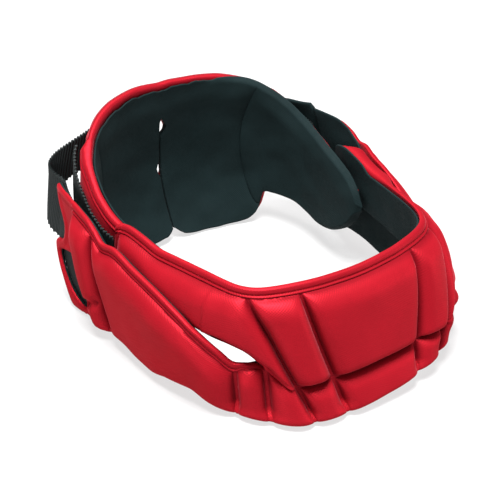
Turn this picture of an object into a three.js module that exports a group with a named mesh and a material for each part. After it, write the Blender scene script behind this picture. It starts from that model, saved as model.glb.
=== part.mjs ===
// Soccer head guard: a padded band for the head, standing open on its lower edges.
// Millimetres, +Z up. X runs to the wearer's left, Y to the back of the head.
// Every piece is a wall on a curved face. The face is unrolled into s, the way round the
// head from the middle line, and z, the height. One half is described and then mirrored.
import * as THREE from 'three';

// Walls and clearances
const layerGap = 0.3; // between layers that lie flat on each other
const liningGap = 0.65; // between a pad and its lining, which bend round the head together
const strapGap = 1.2; // between the strap and the end panel in front of it
const liningWall = 1.2;
const strapWall = 1.6;
const bandWall = 1.6;
const hemWall = 3.2; // pressed edge of the front pad
const panelWall = 1.8; // its unpadded end panel
const grooveWall = 5; // foam left under a pressed groove
const rearHemWall = 3.8;
const cellRoll = 7; // radius over which a cell rises from its border

// Flat borders round the cells
const grooveFlat = 0.8;
const topHem = 5.5;
const bottomHem = 1.8;
const slitHem = 4.6;
const endHem = 5;
const rearTopHem = 5;
const rearHem = 3;
const liningInset = 0.6; // the lining stops short of the pad's edge

// Way round the front: inner face at the top edge, and how far it leans out below it
const frontTopLevel = 67.5;
const frontPlan = [
  { s: 0, x: 0, y: 0, lean: 0.31 },
  { s: 20, x: 20, y: 1.2, lean: 0.32 },
  { s: 38, x: 38, y: 5, lean: 0.33 },
  { s: 50, x: 49, y: 9.6, lean: 0.235 },
  { s: 57, x: 54.6, y: 14, lean: 0.16 },
  { s: 66, x: 59.3, y: 21.5, lean: 0.14 },
  { s: 80, x: 63.3, y: 35, lean: 0.13 },
  { s: 98, x: 67, y: 52.5, lean: 0.1 },
  { s: 116, x: 70, y: 70.3, lean: 0.06 },
  { s: 134, x: 72.5, y: 88, lean: 0.03 },
  { s: 149, x: 74.5, y: 103, lean: 0 },
  { s: 166, x: 76.5, y: 120, lean: 0 },
  { s: 183, x: 77.3, y: 137, lean: 0 },
  { s: 200, x: 76.3, y: 154, lean: 0 },
  { s: 215, x: 73.5, y: 168.5, lean: 0 },
  { s: 230, x: 66, y: 181, lean: 0 },
];

// Heights of the front pad's edges, of the line between its two tiers, and of the slit behind it
const slitRoot = 51;
const rootEase = 10; // the slit's hems grow to full width over this length
const frontEdges = [
  { s: 0, bottom: 0, top: 67 },
  { s: 39, bottom: 0, top: 67.5 },
  { s: 60, bottom: 0, top: 67 },
  { s: 82, bottom: 1, top: 67 },
  { s: 106, bottom: 2, top: 66 },
  { s: 121, bottom: 1.6, top: 65.3 },
  { s: 140, bottom: 0.6, top: 67.8 },
  { s: 151, bottom: 0.2, top: 66.5 },
  { s: 170, bottom: 0.2, top: 66 },
  { s: 183, bottom: 0.8, top: 66 },
  { s: 215, bottom: 4, top: 66 },
];
const tierLine = [
  { s: 0, z: 19.5 },
  { s: 24, z: 19.5 },
  { s: 39, z: 19.5 },
  { s: slitRoot, z: 27.5 },
];
const slitEdges = [
  { s: slitRoot, lower: 27.5, upper: 27.5 },
  { s: 54, lower: 29.4, upper: 31 },
  { s: 58, lower: 29.6, upper: 34.6 },
  { s: 62.5, lower: 29.6, upper: 36.8 },
  { s: 69, lower: 36, upper: 37.6 },
  { s: 76, lower: 42, upper: 37.2 },
  { s: 85, lower: 47, upper: 37.2 },
  { s: 96, lower: 51.2, upper: 37.6 },
  { s: 105, lower: 53.8, upper: 38 },
  { s: 125, lower: 58, upper: 38 },
  { s: 140, lower: 61.2, upper: 39 },
  { s: 150.5, lower: 59.2, upper: 43 },
  { s: 158, lower: 63, upper: 43 },
  { s: 167, lower: 66, upper: 43 },
  { s: 183, lower: 66.6, upper: 43 },
  { s: 200, lower: 65.6, upper: 43 },
  { s: 213, lower: 63.6, upper: 43 },
];

// The lower arm stands out from the front face so that it passes outside the upper arm
const lowerFlare = [
  { s: slitRoot, low: 0, high: 0 },
  { s: 57, low: 0, high: 3.5 },
  { s: 66, low: 0, high: 8 },
  { s: 74, low: 0.5, high: 11 },
  { s: 82, low: 1.5, high: 12.5 },
  { s: 92, low: 2.8, high: 12.6 },
  { s: 106, low: 4.2, high: 12 },
  { s: 128, low: 4.2, high: 11 },
  { s: 149, low: 5, high: 9.5 },
  { s: 166, low: 6.5, high: 6.5 },
  { s: 183, low: 7.5, high: 3.5 },
  { s: 200, low: 9.5, high: 1.5 },
  { s: 215, low: 8, high: 0 },
  { s: 230, low: 5, high: 0 },
];

// Thickness of the raised cells
const frontPad = [
  { s: 0, upper: 11, lower: 11 },
  { s: 48, upper: 11.5, lower: 11 },
  { s: 75, upper: 9.5, lower: 10.5 },
  { s: 120, upper: 7, lower: 9.5 },
  { s: 170, upper: 6.5, lower: 7 },
];

// Grooves of the front pad: s on the lower and on the upper edge of their tier
const upperGrooves = [
  { name: 'middle', low: 0, high: 0 },
  { name: 'second', low: 23.5, high: 35 },
  { name: 'first', low: 39, high: 56 },
  { name: 'root', low: slitRoot, high: 68 },
  { name: 'end', low: 153, high: 153 },
];
const lowerGrooves = [
  { name: 'middle', low: 0, high: 0 },
  { name: 'second', low: 20, high: 23.5 },
  { name: 'first', low: 33.5, high: 39 },
  { name: 'root', low: 49.5, high: slitRoot },
  { name: 'square', low: 59, high: 60.5 },
  { name: 'long', low: 154, high: 165 },
  { name: 'panel', low: 167, high: 186 },
];

// End panel of the lower arm, s and z of its corners and of its slot
const panelEdge = [
  { s: 181, z: 0.8 },
  { s: 184.5, z: 2.5 },
  { s: 187.5, z: 7.6 },
  { s: 192.5, z: 15 },
  { s: 198, z: 22.5 },
  { s: 203, z: 28.5 },
  { s: 205, z: 32 },
  { s: 203, z: 34.8 },
  { s: 197.5, z: 36.6 },
  { s: 194.6, z: 39.8 },
  { s: 194, z: 46.5 },
  { s: 197, z: 50.8 },
  { s: 204, z: 55.5 },
  { s: 212, z: 62 },
  { s: 213, z: 63.6 },
  { s: 205, z: 65 },
  { s: 195, z: 66 },
];
const seamBow = 1.5; // the seam is drawn bowed into the panel, so that no sliver lies along it
const panelSlot = [
  { s: 172.6, z: 11 },
  { s: 177, z: 5.6 },
  { s: 183.5, z: 9.8 },
  { s: 190, z: 17.5 },
  { s: 198, z: 28.2 },
  { s: 196.8, z: 30.6 },
  { s: 184.8, z: 34 },
  { s: 182, z: 33 },
  { s: 176.6, z: 22 },
];

// Way round the back: inner face at mid height, and how far it draws in above and below
const rearMidLevel = 45;
const rearTopLevel = 97;
const rearCurve = { high: 2, low: 1.7 }; // how fast it draws in
const rearPlan = [
  { s: 0, x: 0, y: 184, high: 8, low: 17, top: 98, bottom: 6 },
  { s: 4, x: 4, y: 183.95, high: 8, low: 17, top: 98.3, bottom: 3.2 },
  { s: 8, x: 8, y: 183.8, high: 8, low: 17, top: 98.6, bottom: 1.2 },
  { s: 20, x: 20, y: 182.3, high: 8, low: 16, top: 98.8, bottom: 0 },
  { s: 37, x: 36, y: 176.5, high: 6.5, low: 14, top: 97.6, bottom: 0 },
  { s: 50, x: 47, y: 169.5, high: 5, low: 10, top: 94.8, bottom: 0.3 },
  { s: 58, x: 53.3, y: 164.4, high: 4.5, low: 8, top: 92.3, bottom: 1.5 },
  { s: 63, x: 56.9, y: 160.9, high: 4.2, low: 7, top: 90.4, bottom: 4.5 },
  { s: 66, x: 58.9, y: 158.6, high: 4, low: 6.5, top: 89, bottom: 9 },
  { s: 68.5, x: 60.4, y: 156.4, high: 4, low: 6, top: 87.8, bottom: 18.5 },
  { s: 72, x: 62.3, y: 153.4, high: 3.7, low: 5.6, top: 86, bottom: 19.6 },
  { s: 80, x: 65.8, y: 146.3, high: 3, low: 5, top: 81.8, bottom: 19.6 },
  { s: 90, x: 68.4, y: 136.6, high: 2.3, low: 4.3, top: 76.2, bottom: 19.6 },
  { s: 100, x: 69.8, y: 126.7, high: 1.7, low: 3.7, top: 70.8, bottom: 18 },
  { s: 108, x: 69.9, y: 118.7, high: 1.3, low: 3.2, top: 67, bottom: 16.2 },
  { s: 116, x: 69.2, y: 110.7, high: 1, low: 3, top: 64, bottom: 15 },
  { s: 128, x: 67.6, y: 98.8, high: 0, low: 3, top: 61, bottom: 17 },
  { s: 140, x: 66.2, y: 86.9, high: 0, low: 3, top: 57, bottom: 23.5 },
  { s: 148, x: 65.4, y: 79, high: 0, low: 3, top: 51, bottom: 31 },
  { s: 152, x: 65, y: 75, high: 0, low: 3, top: 45, bottom: 38 },
];
const rearPad = [
  { s: 0, wall: 9 },
  { s: 48, wall: 9 },
  { s: 64, wall: 6.5 },
  { s: 104, wall: 6.2 },
  { s: 120, wall: 4 },
];
const rearWingEnd = 152;
const creaseLow = 67.5;
const creaseHigh = 66;
const creaseBow = -14;

// Centre slit of the back, nearly closed, with two small gaps
const slitTop = 72;
const slitHalf = 0.5;
const slitGaps = [
  { z: 65, reach: 6, open: 1.6 },
  { z: 43, reach: 6, open: 0.9 },
];

// Elastic strap: heights along the lower arm's face, then over to the back pad
const strapLine = [
  { s: 168, low: 4, high: 44 },
  { s: 175, low: 4, high: 51 },
  { s: 184, low: 6, high: 57 },
  { s: 190, low: 13.5, high: 59.3 },
  { s: 198, low: 24.5, high: 61.6 },
  { s: 205, low: 32, high: 63 },
  { s: 213, low: 39, high: 64.5 },
  { s: 222, low: 44, high: 66.5 },
  { s: 232, low: 48.5, high: 70 },
  { s: 242, low: 53.5, high: 75 },
  { s: 252, low: 57.5, high: 79.5 },
  { s: 262, low: 60, high: 83 },
];
const strapFoot = { low: 169.5, high: 188 };
const strapEnd = 262;
const strapLeaves = 213; // from here it loops over to the back pad
const strapStart = { stiff: 24, turn: 0.5 }; // how stiffly the loop leaves the arm, turned outward
const strapFinish = { stiff: 24, turn: 0.25 }; // how it meets the back pad
const strapRearEnd = 42; // s on the back pad where it ends

// Band on the outer face of the wing
const bandStart = 62;
const bandEnd = 116;
const bandBelowTop = 9;
const bandWidth = 24;
const bandLift = { from: 62, to: 92, height: 2.6 }; // its rear end stands off the wing

const { clamp, lerp, smoothstep } = THREE.MathUtils;

// Smooth curve through one column of a table that never swings past its rows
function track(rows, column, startsLevel = true) {
  const last = rows.length - 1;
  const rise = rows.slice(1).map((row, i) => (row[column] - rows[i][column]) / (row.s - rows[i].s));
  const slope = rows.map((row, i) => {
    if (i === 0) return startsLevel ? 0 : rise[0];
    if (i === last) return rise[last - 1];
    const turns = rise[i - 1] * rise[i] <= 0;
    return turns ? 0 : (2 * rise[i - 1] * rise[i]) / (rise[i - 1] + rise[i]);
  });
  return (s) => {
    if (s >= rows[last].s) return rows[last][column] + slope[last] * (s - rows[last].s);
    const i = Math.max(0, rows.findIndex((row) => row.s > s) - 1);
    const span = rows[i + 1].s - rows[i].s;
    const t = (s - rows[i].s) / span;
    const u = 1 - t;
    const start = rows[i][column] * (1 + 2 * t) + slope[i] * span * t;
    const end = rows[i + 1][column] * (1 + 2 * u) - slope[i + 1] * span * u;
    return start * u * u + end * t * t;
  };
}

function tracks(rows, columns) {
  return Object.fromEntries(columns.map((column) => [column, track(rows, column, column !== 'x')]));
}

const front = tracks(frontPlan, ['x', 'y', 'lean']);
const edge = tracks(frontEdges, ['bottom', 'top']);
const tier = track(tierLine, 'z');
const slit = { lower: track(slitEdges, 'lower', false), upper: track(slitEdges, 'upper', false) };
edge.lowerTop = (s) => (s <= slitRoot ? tier(s) : slit.lower(s));
edge.upperBottom = (s) => (s <= slitRoot ? tier(s) : slit.upper(s));
const flare = tracks(lowerFlare, ['low', 'high']);
const frontWall = tracks(frontPad, ['upper', 'lower']);
const rear = tracks(rearPlan, ['x', 'y', 'high', 'low', 'top', 'bottom']);
const rearWall = track(rearPad, 'wall');
const strap = tracks(strapLine, ['low', 'high']);

// Level direction away from the head: sense is 1 on the front and -1 on the back
function outward(plan, s, sense) {
  const step = 0.5;
  const from = Math.max(0, s - step);
  const along = new THREE.Vector2(plan.x(s + step) - plan.x(from), plan.y(s + step) - plan.y(from));
  if (s === 0) along.set(1, 0);
  along.normalize();
  return new THREE.Vector3(along.y * sense, -along.x * sense, 0);
}

function placed(plan, s, z, out, shift) {
  return { place: new THREE.Vector3(plan.x(s), plan.y(s), z).addScaledVector(out, shift), out };
}

function frontFace(s, z) {
  return placed(front, s, z, outward(front, s, 1), front.lean(s) * (frontTopLevel - z));
}

function lowerFace(s, z) {
  const { place, out } = frontFace(s, z);
  const share = (z - edge.bottom(s)) / (edge.lowerTop(s) - edge.bottom(s));
  const shift = s < slitRoot ? 0 : lerp(flare.low(s), flare.high(s), clamp(share, 0, 1));
  return { place: place.addScaledVector(out, shift), out };
}

function rearFace(s, z) {
  const above = Math.max(0, z - rearMidLevel) / (rearTopLevel - rearMidLevel);
  const below = Math.max(0, rearMidLevel - z) / rearMidLevel;
  const drawnIn = rear.high(s) * above ** rearCurve.high + rear.low(s) * below ** rearCurve.low;
  return placed(rear, s, z, outward(rear, s, -1), -drawnIn);
}

// Handle of the strap's loop: along the face, turned a little away from it
function handle({ place, out }, way, { stiff, turn }) {
  const ahead = place.clone().addScaledVector(way, stiff * Math.cos(turn));
  return ahead.addScaledVector(out, stiff * Math.sin(turn));
}

// The strap lies behind the end panel, then loops over to the outer face of the back pad
function strapFace(s, z) {
  const arm = lowerFace(Math.min(s, strapLeaves), z);
  if (s <= strapLeaves) return arm;
  const back = rearFace(strapRearEnd, z);
  back.place.addScaledVector(back.out, rearWall(0) + layerGap + strapWall + strapGap);
  const armWay = new THREE.Vector3(-arm.out.y, arm.out.x, 0);
  const backWay = new THREE.Vector3(back.out.y, -back.out.x, 0);
  const loop = new THREE.CubicBezierCurve3(
    arm.place,
    handle(arm, armWay, strapStart),
    handle(back, backWay, strapFinish),
    back.place,
  );
  const share = (s - strapLeaves) / (strapEnd - strapLeaves);
  const way = loop.getTangent(share).setZ(0).normalize();
  return { place: loop.getPoint(share).setZ(z), out: new THREE.Vector3(way.y, -way.x, 0) };
}

// A sheet collects triangles on a face; each corner has the offsets of its two skins
const cornersPerMm = 200; // corners nearer than this grid are one corner

class Sheet {
  constructor() {
    this.corners = [];
    this.triangles = [];
    this.known = new Map();
  }

  corner({ place, out }, [low, high], mirrored) {
    const flip = new THREE.Vector3(mirrored ? -1 : 1, 1, 1);
    const at = place.clone().multiply(flip);
    const key = at.toArray().map((value) => Math.round(value * cornersPerMm)).join(' ');
    if (!this.known.has(key)) {
      const away = out.clone().multiply(flip);
      const skins = [low, high].map((offset) => at.clone().addScaledVector(away, offset));
      this.known.set(key, this.corners.push(skins) - 1);
    }
    return this.known.get(key);
  }

  triangle(a, b, c, turned) {
    if (a === b || b === c || c === a) return;
    this.triangles.push(turned ? [a, c, b] : [a, b, c]);
  }

  // Closed wall between the two skins, with a rim along every free edge
  geometry() {
    const inner = (corner) => 2 * corner;
    const outer = (corner) => 2 * corner + 1;
    const index = [];
    const edges = new Set();
    for (const [a, b, c] of this.triangles) {
      index.push(outer(a), outer(b), outer(c), inner(a), inner(c), inner(b));
      edges.add(`${a} ${b}`).add(`${b} ${c}`).add(`${c} ${a}`);
    }
    for (const pair of edges) {
      const [a, b] = pair.split(' ').map(Number);
      if (edges.has(`${b} ${a}`)) continue;
      index.push(outer(b), outer(a), inner(a), outer(b), inner(a), inner(b));
    }
    const geometry = new THREE.BufferGeometry();
    geometry.setAttribute('position', new THREE.Float32BufferAttribute(
      this.corners.flat().flatMap((corner) => corner.toArray()), 3));
    geometry.setIndex(index);
    return geometry;
  }
}

// Fractions across a strip: its flat borders, and steps that crowd towards them
function spread(width, startFlat, endFlat, steps) {
  const from = startFlat / width;
  const to = 1 - endFlat / width;
  const inside = Array.from({ length: steps + 1 }, (_, i) => (
    lerp(from, to, 0.5 - 0.5 * Math.cos((Math.PI * i) / steps))));
  return [...(from > 0 ? [0] : []), ...inside, ...(to < 1 ? [1] : [])];
}

// Grid of corners between two lines and two edges; wall gives the two skins at each corner
function grid(sheet, { face, left, right, bottom, top, flat, steps, wall, turned }, mirrored) {
  const along = steps.along;
  const columns = along + 1 + Number(flat.left > 0) + Number(flat.right > 0);
  const corners = Array.from({ length: columns }, (_, i) => {
    const middle = lerp(left(0.5), right(0.5), i / (columns - 1));
    const flats = { bottom: flat.bottom(middle), top: flat.top(middle) };
    const height = top(middle) - bottom(middle);
    return spread(height, flats.bottom, flats.top, steps.up).map((b) => {
      const width = right(b) - left(b);
      const a = spread(width, flat.left, flat.right, along)[i];
      const s = lerp(left(b), right(b), a);
      const z = lerp(bottom(s), top(s), b);
      const reach = {
        left: a * width - flat.left,
        right: (1 - a) * width - flat.right,
        bottom: z - bottom(s) - flats.bottom,
        top: top(s) - z - flats.top,
      };
      return sheet.corner(face(s, z), wall(s, reach, a), mirrored);
    });
  });
  const flipped = Boolean(turned) !== Boolean(mirrored);
  for (let i = 0; i + 1 < columns; i += 1) {
    for (let j = 0; j + 1 < corners[i].length; j += 1) {
      const [a, b, c, d] = [corners[i][j], corners[i + 1][j], corners[i + 1][j + 1], corners[i][j + 1]];
      sheet.triangle(a, b, c, flipped);
      sheet.triangle(a, c, d, flipped);
    }
  }
}

// Height of a cell's roll at a distance from its border
function pillow(reach) {
  const t = clamp(1 - reach / cellRoll, 0, 1);
  return Math.sqrt(1 - t * t);
}

// Outer skin of a padded cell: each side is open, a groove, a hem, or fades in along the cell
function cellWall(sides, full, hem) {
  return (s, reach, along) => {
    let rise = 1;
    let floor = grooveWall;
    for (const [side, kind] of Object.entries(sides)) {
      if (kind === 'open') continue;
      const share = kind === 'fades' ? smoothstep(along, 0, 1) : 1;
      rise *= lerp(1, pillow(reach[side]), share);
      const pressed = lerp(hem, grooveWall, clamp(reach[side] / cellRoll, 0, 1));
      if (kind !== 'groove') floor = Math.min(floor, lerp(grooveWall, pressed, share));
    }
    return [0, floor + (full(s) - floor) * rise];
  };
}

const line = ({ low, high }) => (b) => lerp(low, high, b);
const afterRoot = (s) => smoothstep(s, slitRoot, slitRoot + rootEase);
const slitFlat = (s) => lerp(grooveFlat, slitHem, afterRoot(s));
const eachHalf = (make) => [false, true].forEach(make);

function named(rows, name) {
  return line(rows.find((row) => row.name === name));
}

// Raised cells of the front pad between two grooves, with the kind of each side
const upperCells = [
  { from: 'middle', to: 'second', left: 'open', right: 'groove', bottom: 'groove', along: 4 },
  { from: 'second', to: 'first', left: 'groove', right: 'groove', bottom: 'groove', along: 5 },
  { from: 'first', to: 'root', left: 'groove', right: 'open', bottom: 'fades', along: 4 },
  { from: 'root', to: 'end', left: 'open', right: 'hem', bottom: 'hem', along: 10 },
];
const lowerCells = [
  { from: 'middle', to: 'second', left: 'open', right: 'groove', top: 'groove', along: 4 },
  { from: 'second', to: 'first', left: 'groove', right: 'groove', top: 'groove', along: 5 },
  { from: 'first', to: 'root', left: 'groove', right: 'groove', top: 'fades', along: 4 },
  { from: 'root', to: 'square', left: 'groove', right: 'groove', top: 'hem', along: 5 },
  { from: 'square', to: 'long', left: 'groove', right: 'groove', top: 'hem', along: 13 },
  { from: 'long', to: 'panel', left: 'groove', right: 'hem', top: 'hem', along: 5 },
];
const frontRows = 6;

function addUpperCells(sheet, mirrored) {
  for (const { from, to, left, right, bottom, along } of upperCells) {
    grid(sheet, {
      face: frontFace,
      left: named(upperGrooves, from),
      right: named(upperGrooves, to),
      bottom: edge.upperBottom,
      top: edge.top,
      flat: {
        left: grooveFlat,
        right: to === 'end' ? endHem : grooveFlat,
        bottom: slitFlat,
        top: () => topHem,
      },
      steps: { along, up: frontRows },
      wall: cellWall({ left, right, bottom, top: 'hem' }, frontWall.upper, hemWall),
    }, mirrored);
  }
}

function addLowerCells(sheet, mirrored) {
  for (const { from, to, left, right, top, along } of lowerCells) {
    grid(sheet, {
      face: lowerFace,
      left: named(lowerGrooves, from),
      right: named(lowerGrooves, to),
      bottom: edge.bottom,
      top: edge.lowerTop,
      flat: { left: grooveFlat, right: grooveFlat, bottom: () => bottomHem, top: slitFlat },
      steps: { along, up: frontRows },
      wall: cellWall({ left, right, bottom: 'hem', top }, frontWall.lower, hemWall),
    }, mirrored);
  }
}

// Flat end panel, joined to the last cell along that cell's own corners
function addEndPanel(sheet, mirrored) {
  const joint = named(lowerGrooves, 'panel');
  const middle = joint(0.5);
  const height = edge.lowerTop(middle) - edge.bottom(middle);
  const seam = spread(height, bottomHem, slitFlat(middle), frontRows).map((b) => {
    const s = joint(b);
    return { s, z: lerp(edge.bottom(s), edge.lowerTop(s), b), bow: seamBow * 4 * b * (1 - b) };
  });
  const outline = [...panelEdge, ...seam.reverse()];
  const slot = [...panelSlot].reverse();
  const drawn = (points) => points.map(({ s, z, bow = 0 }) => new THREE.Vector2(s + bow, z));
  const corners = [...outline, ...slot].map(({ s, z }) => (
    sheet.corner(lowerFace(s, z), [0, panelWall], mirrored)));
  for (const [a, b, c] of THREE.ShapeUtils.triangulateShape(drawn(outline), [drawn(slot)])) {
    sheet.triangle(corners[a], corners[b], corners[c], mirrored);
  }
}

function frontPadGeometry() {
  const sheet = new Sheet();
  eachHalf((mirrored) => {
    addUpperCells(sheet, mirrored);
    addLowerCells(sheet, mirrored);
    addEndPanel(sheet, mirrored);
  });
  return sheet.geometry();
}

// Linings: plain walls just inside the pads
const liningSkins = () => [-(liningGap + liningWall), -liningGap];
const noFlat = { left: 0, right: 0, bottom: () => 0, top: () => 0 };
const inside = (inset, edgeOf, sign) => (s) => edgeOf(s) + sign * inset(s);
const evenInset = () => liningInset;
const slitInset = (s) => liningInset * afterRoot(s);

const upperLining = [
  { from: 'middle', to: 'first', along: 6 },
  { from: 'first', to: 'root', along: 2 },
  { from: 'root', to: 'end', along: 8 },
];
const lowerLining = [
  { from: 'middle', to: 'first', along: 6 },
  { from: 'first', to: 'root', along: 2 },
  { from: 'root', to: 'square', along: 2 },
  { from: 'square', to: 'long', along: 10 },
  { from: 'long', to: 'panel', along: 4 },
];
const liningRows = { upper: 3, lower: 5, rear: 8 };

function frontLiningGeometry() {
  const sheet = new Sheet();
  const layer = (face, grooves, bottom, top, up) => ({ from, to, along }, mirrored) => {
    const groove = named(grooves, to);
    const shortened = to === 'end' ? (b) => groove(b) - liningInset : groove;
    grid(sheet, {
      face, bottom, top,
      left: named(grooves, from),
      right: shortened,
      flat: noFlat,
      steps: { along, up },
      wall: liningSkins,
    }, mirrored);
  };
  const addUpper = layer(frontFace, upperGrooves,
    inside(slitInset, edge.upperBottom, 1), inside(evenInset, edge.top, -1), liningRows.upper);
  const addLower = layer(lowerFace, lowerGrooves,
    inside(evenInset, edge.bottom, 1), inside(slitInset, edge.lowerTop, -1), liningRows.lower);
  eachHalf((mirrored) => {
    upperLining.forEach((cell) => addUpper(cell, mirrored));
    lowerLining.forEach((cell) => addLower(cell, mirrored));
  });
  return sheet.geometry();
}

// Centre slit of the back: half its width at a height, and none above its top
function slitAt(z, extra) {
  if (z >= slitTop) return 0;
  const gaps = slitGaps.map((gap) => gap.open * Math.max(0, 1 - ((z - gap.z) / gap.reach) ** 2));
  return slitHalf + extra + Math.max(...gaps);
}

const slitLine = (extra) => (b) => slitAt(lerp(rear.bottom(0), rear.top(0), b), extra);
const creaseLine = (b) => lerp(creaseLow, creaseHigh, b) + creaseBow * 4 * b * (1 - b);
const wingEndLine = (inset) => () => rearWingEnd - inset;

const rearCells = [
  { left: slitLine(0), right: creaseLine, sides: { left: 'groove', right: 'groove' }, along: 7 },
  { left: creaseLine, right: wingEndLine(0), sides: { left: 'groove', right: 'hem' }, along: 10 },
];
const rearRows = 9;

function rearPadGeometry() {
  const sheet = new Sheet();
  eachHalf((mirrored) => {
    for (const { left, right, sides, along } of rearCells) {
      grid(sheet, {
        face: rearFace, left, right,
        bottom: rear.bottom,
        top: rear.top,
        flat: { left: grooveFlat, right: grooveFlat, bottom: () => rearHem, top: () => rearTopHem },
        steps: { along, up: rearRows },
        wall: cellWall({ ...sides, bottom: 'hem', top: 'hem' }, rearWall, rearHemWall),
        turned: true,
      }, mirrored);
    }
  });
  return sheet.geometry();
}

function rearLiningGeometry() {
  const sheet = new Sheet();
  const cells = [
    { left: slitLine(liningInset), right: creaseLine, along: 7 },
    { left: creaseLine, right: wingEndLine(liningInset), along: 9 },
  ];
  eachHalf((mirrored) => {
    for (const { left, right, along } of cells) {
      grid(sheet, {
        face: rearFace, left, right,
        bottom: inside(evenInset, rear.bottom, 1),
        top: inside(evenInset, rear.top, -1),
        flat: noFlat,
        steps: { along, up: liningRows.rear },
        wall: liningSkins,
        turned: true,
      }, mirrored);
    }
  });
  return sheet.geometry();
}

const strapSteps = { along: 24, up: 3 };
const bandSteps = { along: 8, up: 2 };

function strapGeometry(mirrored) {
  const sheet = new Sheet();
  grid(sheet, {
    face: strapFace,
    left: line(strapFoot),
    right: () => strapEnd,
    bottom: strap.low,
    top: strap.high,
    flat: noFlat,
    steps: strapSteps,
    wall: () => [-(strapGap + strapWall), -strapGap],
  }, mirrored);
  return sheet.geometry();
}

function wingBandGeometry(mirrored) {
  const sheet = new Sheet();
  const top = (s) => rear.top(s) - bandBelowTop;
  grid(sheet, {
    face: rearFace,
    left: () => bandStart,
    right: () => bandEnd,
    bottom: (s) => top(s) - bandWidth,
    top,
    flat: noFlat,
    steps: bandSteps,
    wall: (s) => {
      const lift = bandLift.height * (1 - smoothstep(s, bandLift.from, bandLift.to));
      const under = rearWall(s) + layerGap + lift;
      return [under, under + bandWall];
    },
    turned: true,
  }, mirrored);
  return sheet.geometry();
}

// Finishes
const redCloth = new THREE.MeshStandardMaterial({ color: 0xb91c2d, roughness: 0.55, metalness: 0 });
const blackLining = new THREE.MeshStandardMaterial({ color: 0x142326, roughness: 0.85, metalness: 0 });
const blackElastic = new THREE.MeshStandardMaterial({ color: 0x1f2626, roughness: 0.75, metalness: 0 });

const pieces = [
  ['front_pad', frontPadGeometry(), redCloth],
  ['front_lining', frontLiningGeometry(), blackLining],
  ['rear_pad', rearPadGeometry(), redCloth],
  ['rear_lining', rearLiningGeometry(), blackLining],
  ['strap_left', strapGeometry(false), blackElastic],
  ['strap_right', strapGeometry(true), blackElastic],
  ['wing_band_left', wingBandGeometry(false), blackElastic],
  ['wing_band_right', wingBandGeometry(true), blackElastic],
];

const headGuard = new THREE.Group();
for (const [name, geometry, material] of pieces) {
  const mesh = new THREE.Mesh(geometry, material);
  mesh.name = name;
  headGuard.add(mesh);
}

// The origin is the middle of the guard's footprint, on the surface it stands on
const extent = new THREE.Box3().setFromObject(headGuard);
const middle = extent.getCenter(new THREE.Vector3());
headGuard.position.set(-middle.x, -middle.y, -extent.min.z);

export default headGuard;
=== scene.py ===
import math
import bpy
import bmesh
import numpy as np
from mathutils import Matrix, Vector
from mathutils.geometry import delaunay_2d_cdt


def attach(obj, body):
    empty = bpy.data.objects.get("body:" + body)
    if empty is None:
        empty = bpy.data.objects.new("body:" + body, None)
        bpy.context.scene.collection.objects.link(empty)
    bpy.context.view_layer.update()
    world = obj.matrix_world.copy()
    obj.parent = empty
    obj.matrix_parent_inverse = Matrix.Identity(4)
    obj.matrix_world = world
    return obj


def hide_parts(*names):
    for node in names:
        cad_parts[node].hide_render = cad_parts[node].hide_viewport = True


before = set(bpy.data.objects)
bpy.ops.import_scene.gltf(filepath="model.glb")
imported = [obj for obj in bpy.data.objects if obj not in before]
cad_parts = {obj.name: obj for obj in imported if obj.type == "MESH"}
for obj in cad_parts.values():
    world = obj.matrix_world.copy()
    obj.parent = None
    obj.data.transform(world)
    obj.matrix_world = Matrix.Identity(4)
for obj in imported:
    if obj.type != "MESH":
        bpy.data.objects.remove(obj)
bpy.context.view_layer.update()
print("frame loaded")

# Sizes are in millimetres: s is the way round the head from the middle line, z the height
# In the tables False is the wearer's left half, True the right half, which is mirrored
toMetres = 0.001
browToMiddle = 81.3308  # the tables start at the brow, the frame at the middle of the footprint


def lerp(a, b, t):
    return a + (b - a) * t


def ramp(value, start, end):
    t = np.clip((np.asarray(value, float) - start) / (end - start), 0, 1)
    return t * t * (3 - 2 * t)


def bell(value, width):
    return np.exp(-(value / width) ** 2)


def gridArrays(s, z):
    return np.broadcast_arrays(np.asarray(s, float), np.asarray(z, float))


def curveThrough(rows, column, level=True):  # smooth curve that never swings past its rows
    s = np.array([row[0] for row in rows], float)
    v = np.array([row[column] for row in rows], float)
    rise = np.diff(v) / np.diff(s)
    slope = np.zeros(len(v))
    slope[0] = 0 if level else rise[0]
    slope[-1] = rise[-1]
    for i in range(1, len(v) - 1):
        a, b = rise[i - 1], rise[i]
        slope[i] = 0 if a * b <= 0 else 2 * a * b / (a + b)

    def at(q):
        q = np.asarray(q, float)
        i = np.clip(np.searchsorted(s, q, "right") - 1, 0, len(s) - 2)
        span = s[i + 1] - s[i]
        t = (q - s[i]) / span
        u = 1 - t
        start = v[i] * (1 + 2 * t) + slope[i] * span * t
        end = v[i + 1] * (1 + 2 * u) - slope[i + 1] * span * u
        return np.where(q >= s[-1], v[-1] + slope[-1] * (q - s[-1]), start * u * u + end * t * t)

    return at


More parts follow.
